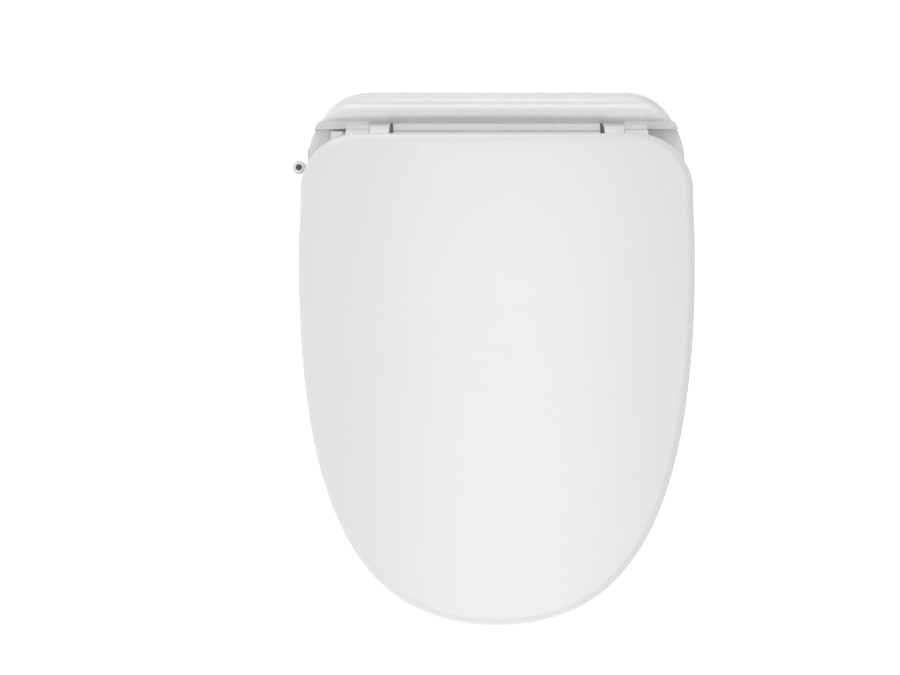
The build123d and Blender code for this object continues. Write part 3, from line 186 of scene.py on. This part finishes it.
# Each plastic's colour, roughness, grain scale, grain depth in metres, tint and coat.
PLASTICS = {
    "white_gloss": ((0.80, 0.80, 0.795), 0.26, 900.0, 0.000012, 0.012, 0.35),
    "white_satin": ((0.74, 0.74, 0.735), 0.46, 1600.0, 0.00003, 0.03),
    "grey_plastic": ((0.42, 0.43, 0.44), 0.42, 1800.0, 0.00003, 0.06),
    "dark_plastic": ((0.03, 0.03, 0.033), 0.4, 1800.0, 0.00003, 0.3),
    "rubber": ((0.55, 0.55, 0.53), 0.75, 2200.0, 0.00004, 0.08),
    "ceramic_white": ((0.72, 0.7, 0.64), 0.2, 500.0, 0.00002, 0.05, 0.4),
    "carbon": ((0.02, 0.02, 0.02), 0.85, 1500.0, 0.0002, 0.5),
    "lens": ((0.012, 0.008, 0.012), 0.08, 400.0, 0.000005, 0.3, 0.5),
    "board_green": ((0.02, 0.11, 0.05), 0.3, 700.0, 0.00002, 0.25, 0.2),
}

# Each metal's colour, roughness and, where it isn't the usual one, its noise's stretch in X, Y and Z.
METALS = {
    "steel": ((0.62, 0.62, 0.6), 0.28),
    "motor_can": ((0.6, 0.6, 0.6), 0.35, (40.0, 1.0, 1.0)),
    "brass_gear": ((0.72, 0.52, 0.25), 0.3),
    "foil": ((0.75, 0.75, 0.76), 0.3, (1.0, 20.0, 1.0)),
}

materials = {name: moulded(name, *values) for name, values in PLASTICS.items()}
materials.update({name: metal(name, *values) for name, values in METALS.items()})

slot_of = {part["node"]: part["material_slot"] for part in frame["record"]["subparts"]}
for node_name, node in nodes.items():
    node.data.materials.clear()
    node.data.materials.append(materials[slot_of[node_name]])


# ------------------------------------------------------------------ mesh helpers
def add_piece(name, mesh_data, body, slot, smooth_angle):
    """Links a mesh as a piece that rides on a body, with edges sharp above this angle in degrees."""
    mesh_data.materials.append(materials[slot])
    piece = bpy.data.objects.new(name, mesh_data)
    bpy.context.scene.collection.objects.link(piece)
    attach(piece, body)
    mesh_data.shade_smooth()
    mesh_data.set_sharp_from_angle(angle=math.radians(smooth_angle))
    return piece


def mirrored(half_points):
    """A closed outline from its right half, which runs from the middle plane at the rear to the nose."""
    left = [(-x, y) for x, y in reversed(half_points[1:-1])]
    return half_points + left


def bezier(p0, p1, p2, p3, count):
    """Points along a cubic curve, without its first one."""
    points = []
    for i in range(1, count + 1):
        t = i / count
        u = 1 - t
        weights = (u**3, 3 * u * u * t, 3 * u * t * t, t**3)
        x = sum(w * p[0] for w, p in zip(weights, (p0, p1, p2, p3)))
        y = sum(w * p[1] for w, p in zip(weights, (p0, p1, p2, p3)))
        points.append((x, y))
    return points


def line(p0, p1, count):
    """Points along a straight line, without its first one."""
    steps = range(1, count + 1)
    return [tuple(a + (b - a) * i / count for a, b in zip(p0, p1)) for i in steps]


def shield(inset, half, rear, corner, nose):
    """A rounded outline with near-straight sides and a long full nose, drawn in by inset."""
    side = half - inset
    rear_side = side - SIDE_TAPER
    back = rear - inset
    front = nose + inset
    radius = corner - inset
    middle = (back - radius + LID_WIDEST_Y) / 2
    points = [(0.0, back)]
    points += line((0.0, back), (rear_side - radius, back), 40)
    for i in range(1, CORNER_STEPS + 1):
        angle = math.pi / 2 * (1 - i / CORNER_STEPS)
        x = rear_side - radius + radius * math.cos(angle)
        points.append((x, back - radius + radius * math.sin(angle)))
    widest = (side, LID_WIDEST_Y)
    points += bezier((rear_side, back - radius), (rear_side, middle), (side, middle), widest, 14)
    reach = NOSE_FULLNESS * (LID_WIDEST_Y - front)
    full = (side * NOSE_FULLNESS, front)
    points += bezier(widest, (side, LID_WIDEST_Y - reach), full, (0.0, front), 72)
    return mirrored(points)


def stack_rings(rings, centre_start, centre_end):
    """A mesh through rings of equal length, closed at each end by a fan to a centre point."""
    mesh = bmesh.new()
    made = [[mesh.verts.new(p) for p in ring] for ring in rings]
    count = len(rings[0])
    for low, high in zip(made, made[1:]):
        for i in range(count):
            j = (i + 1) % count
            mesh.faces.new((low[i], low[j], high[j], high[i]))
    for ring, centre in ((made[0], centre_start), (made[-1], centre_end)):
        middle = mesh.verts.new(centre)
        for i in range(count):
            mesh.faces.new((ring[i], ring[(i + 1) % count], middle))
    bmesh.ops.recalc_face_normals(mesh, faces=mesh.faces)
    data = bpy.data.meshes.new("piece")
    mesh.to_mesh(data)
    mesh.free()
    return data


# ------------------------------------------------------------------ lid
def crown(x, y, drop=0.0):
    """The height of the lid's crowned top, lowered by drop."""
    sag = LID_CROSS_R - math.sqrt(LID_CROSS_R**2 - x * x)
    long_r = LID_LONG_R - sag
    away = min(0.0, y - LID_REAR_Y)
    return LID_TOP_Z - LID_LONG_R + math.sqrt(long_r**2 - away * away) - drop


def slope_height(base, y):
    """The height of a plane that is at base over the hinge line and falls towards the nose."""
    return base + (y - HINGE_Y) * math.tan(RING_SLOPE)


def smooth_step(low, high, value):
    """Rises smoothly from 0 at low to 1 at high."""
    t = min(1.0, max(0.0, (value - low) / (high - low)))
    return t * t * (3 - 2 * t)


def lid_rim_height(x, y):
    """The rim's lower edge; at the rear between the corners it stops above the hinge."""
    plain = slope_height(RIM_Z, y)
    rear = smooth_step(NOTCH_Y[0], NOTCH_Y[1], y)
    beside = smooth_step(NOTCH_HALF - NOTCH_BLEND, NOTCH_HALF + NOTCH_BLEND, abs(x))
    return plain + (NOTCH_Z - plain) * rear * (1 - beside)


def lid_outline(inset):
    """The lid's outline seen from above, drawn in by inset."""
    return shield(inset, LID_HALF, LID_REAR_Y, LID_CORNER_R, LID_NOSE_Y)


def shrunk_ring(outline, share, drop):
    """An outline shrunk towards the lid's centre and laid on its crowned top, lowered by drop."""
    ring = []
    for x, y in outline:
        near_x = x * share
        near_y = LID_CENTRE_Y + (y - LID_CENTRE_Y) * share
        ring.append((near_x, near_y, crown(near_x, near_y, drop)))
    return ring


def rim_bottom(x, y):
    """The rim's lower edge, kept below the upper edge of the lid's wall."""
    return min(lid_rim_height(x, y), crown(x, y, EDGE_DROP) - RIM_LEAST)


# The narrow band round the lid's top, from the flat top outwards: inset from the outline and drop.
LID_BAND = [
    (0.0085, 0.0),
    (0.0074, 0.00001),
    (0.0067, 0.00004),
    (0.0061, 0.0001),
    (0.0055, 0.00022),
    (0.0049, 0.00039),
    (0.0040, 0.00068),
    (0.0030, 0.001),
    (0.0020, 0.00132),
    (0.0015, 0.00151),
    (0.0011, 0.00175),
    (0.0007, 0.00215),
    (0.0003, 0.0029),
    (0.0001, 0.0040),
    (0.0, EDGE_DROP),
]

# How the inner panel's edge is rounded: inset from its outline and depth below its face.
PANEL_EDGE = [(0.0009, 0.0), (0.0003, 0.00015), (0.0, 0.0006)]

# The rounded foot of the lid's wall, from outside to inside: inset from the outline and lift.
LID_FOOT = [(0.0002, 0.0003), (0.0008, 0.0), (0.0022, 0.0), (0.0028, 0.0003), (0.0030, 0.0008)]


def lid_shell_piece():
    """The lid: a crowned top with a narrow sloping band round its edge, a thin rim and a hollow underside."""
    flat = lid_outline(FLAT_INSET)
    rings = [shrunk_ring(flat, step / FAN_STEPS, 0.0) for step in range(1, FAN_STEPS)]
    for inset, drop in LID_BAND:
        rings.append([(x, y, crown(x, y, drop)) for x, y in lid_outline(inset)])
    for share in (0.25, 0.5, 0.75, 0.93):
        ring = []
        for x, y in lid_outline(0.0):
            top = crown(x, y, EDGE_DROP)
            ring.append((x, y, top + (rim_bottom(x, y) - top) * share))
        rings.append(ring)
    for inset, lift in LID_FOOT:
        rings.append([(x, y, rim_bottom(x, y) + lift) for x, y in lid_outline(inset)])
    for inset, drop in ((0.0032, 0.0050), (0.0050, LID_WALL)):
        rings.append([(x, y, crown(x, y, drop)) for x, y in lid_outline(inset)])
    rings += [shrunk_ring(flat, step / FAN_STEPS, LID_WALL) for step in (20, 14, 8, 3)]
    top_centre = (0.0, LID_CENTRE_Y, crown(0.0, LID_CENTRE_Y))
    low_centre = (0.0, LID_CENTRE_Y, crown(0.0, LID_CENTRE_Y, LID_WALL))
    data = stack_rings(rings, top_centre, low_centre)
    piece = add_piece("lid_shell_moulding", data, "lid", "white_gloss", 50.0)
    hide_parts("lid_shell")


def lid_panel_piece():
    """The flat panel that closes the lid's underside, with rounded edges and a straight rear edge."""
    low = RIM_Z + PANEL_LIFT
    top = low + PANEL_THICKNESS
    rings = []
    steps = [(inset, top - depth) for inset, depth in PANEL_EDGE]
    steps += [(inset, low + depth) for inset, depth in reversed(PANEL_EDGE)]
    for inset, height in steps:
        ring = []
        for x, y in lid_outline(PANEL_INSET + inset):
            back = min(y, PANEL_REAR_Y - inset)
            ring.append((x, back, slope_height(height, back)))
        rings.append(ring)
    top_centre = (0.0, LID_CENTRE_Y, slope_height(top, LID_CENTRE_Y))
    low_centre = (0.0, LID_CENTRE_Y, slope_height(low, LID_CENTRE_Y))
    data = stack_rings(rings, top_centre, low_centre)
    piece = add_piece("lid_panel_moulding", data, "lid", slot_of["lid_inner_panel"], 50.0)
    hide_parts("lid_inner_panel")


def prism(profile, start, length, rounding):
    """A closed profile of (y, z) points drawn out along X, with its end rims rounded."""
    mesh = bmesh.new()
    near = [mesh.verts.new((start, y, z)) for y, z in profile]
    far = [mesh.verts.new((start + length, y, z)) for y, z in profile]
    count = len(profile)
    for i in range(count):
        j = (i + 1) % count
        mesh.faces.new((near[i], near[j], far[j], far[i]))
    mesh.faces.new(near)
    mesh.faces.new(list(reversed(far)))
    bmesh.ops.recalc_face_normals(mesh, faces=mesh.faces)
    ends = (set(near), set(far))
    rims = [e for e in mesh.edges if any(e.verts[0] in end and e.verts[1] in end for end in ends)]
    bmesh.ops.bevel(mesh, geom=rims, offset=rounding, segments=3, profile=0.6, affect="EDGES")
    data = bpy.data.meshes.new("prism")
    mesh.to_mesh(data)
    mesh.free()
    return data


def lid_lug_piece(side):
    """One hinge lug: a barrel, flattened on top, that runs forward under the lid."""
    rise = LUG_TOP_Z - HINGE_Z
    profile = []
    for i in range(0, 31):
        angle = math.pi / 2 * (1 - i / 30)
        profile.append((HINGE_Y + LUG_R * math.cos(angle), HINGE_Z + rise * math.sin(angle)))
    for i in range(1, 41):
        angle = -LUG_SWEEP * i / 40
        profile.append((HINGE_Y + LUG_R * math.cos(angle), HINGE_Z + LUG_R * math.sin(angle)))
    profile += [(LUG_FRONT_Y, HINGE_Z), (LUG_FRONT_Y, LUG_TOP_Z)]
    low = min(side * LUG_INNER, side * LUG_OUTER)
    data = prism(profile, low, LUG_OUTER - LUG_INNER, LUG_ROUNDING)
    name = "lid_lug_right" if side > 0 else "lid_lug_left"
    add_piece(name, data, "lid", "white_gloss", 40.0)


lid_shell_piece()
lid_panel_piece()
lid_lug_piece(1)
lid_lug_piece(-1)

# ------------------------------------------------------------------ floor, light and camera
CAMERA_X = -0.046
CAMERA_Y = -0.185
LID_PLANE_Z = 0.074
FRAME_WIDTH = 0.8824
LENS = 85.0
SENSOR = 36.0
FLOOR_HALF = 4
FLOOR_GREY = 0.93
FLOOR_GLOW = 0.45
WORLD_COLOR = (0.95, 0.97, 1.0, 1)
WORLD_LEFT = 0.74
WORLD_RIGHT = 0.35

# Each soft light's name, place, target, width, height and power in watts.
LIGHTS = [
    ("rear_soft", (-0.5, 1.7, 2.1), (0, -0.1, 0), 1.8, 1.2, 15.0),
    ("rear_strip", (-0.05, 0.85, 2.6), (0, 0.0, 0), 2.2, 0.2, 3.0),
    ("front_soft", (0.0, -2.4, 0.85), (0, 0.03, 0.07), 2.0, 0.7, 17.0),
    ("top_soft", (0.12, -0.62, 2.9), (0.12, -0.6201, 0), 0.8, 1.9, 14.5),
]

floor_data = bpy.data.meshes.new("floor")
floor_corners = [(x * FLOOR_HALF, y * FLOOR_HALF, 0) for x, y in ((-1, -1), (1, -1), (1, 1), (-1, 1))]
floor_data.from_pydata(floor_corners, [], [(0, 1, 2, 3)])
floor = bpy.data.objects.new("floor", floor_data)
bpy.context.scene.collection.objects.link(floor)
floor_material, _, floor_shader = new_material("pale_floor")
floor_shader.inputs["Base Color"].default_value = (FLOOR_GREY, FLOOR_GREY, FLOOR_GREY, 1)
floor_shader.inputs["Roughness"].default_value = 0.9
floor_shader.inputs["Specular IOR Level"].default_value = 0.0
floor_shader.inputs["Emission Color"].default_value = (1, 1, 1, 1)
floor_shader.inputs["Emission Strength"].default_value = FLOOR_GLOW
floor_data.materials.append(floor_material)


def soft_light(name, place, target, width, height, power):
    """A rectangular soft light that faces a point."""
    data = bpy.data.lights.new(name, "AREA")
    data.shape = "RECTANGLE"
    data.size = width
    data.size_y = height
    data.energy = power
    lamp = bpy.data.objects.new(name, data)
    bpy.context.scene.collection.objects.link(lamp)
    lamp.location = place
    lamp.rotation_euler = (Vector(target) - Vector(place)).to_track_quat("-Z", "Y").to_euler()


for light in LIGHTS:
    soft_light(*light)

world = bpy.data.worlds.new("studio")
bpy.context.scene.world = world
world.use_nodes = True
world_tree = world.node_tree
background = world_tree.nodes["Background"]
background.inputs["Color"].default_value = WORLD_COLOR

# The surroundings are brightest on the left and fall off evenly to the right.
direction = world_tree.nodes.new("ShaderNodeTexCoord")
split = world_tree.nodes.new("ShaderNodeSeparateXYZ")
fall = world_tree.nodes.new("ShaderNodeMapRange")
fall.inputs["From Min"].default_value = -1.0
fall.inputs["To Min"].default_value = WORLD_LEFT
fall.inputs["To Max"].default_value = WORLD_RIGHT
world_tree.links.new(direction.outputs["Generated"], split.inputs["Vector"])
world_tree.links.new(split.outputs["X"], fall.inputs["Value"])
world_tree.links.new(fall.outputs["Result"], background.inputs["Strength"])

camera_data = bpy.data.cameras.new("camera")
camera_data.lens = LENS
camera_data.sensor_width = SENSOR
camera = bpy.data.objects.new("camera", camera_data)
bpy.context.scene.collection.objects.link(camera)
camera.location = (CAMERA_X, CAMERA_Y, LID_PLANE_Z + FRAME_WIDTH * LENS / SENSOR)
camera.rotation_euler = (0.0, 0.0, 0.0)
bpy.context.scene.camera = camera
bpy.context.scene.view_settings.view_transform = "Standard"
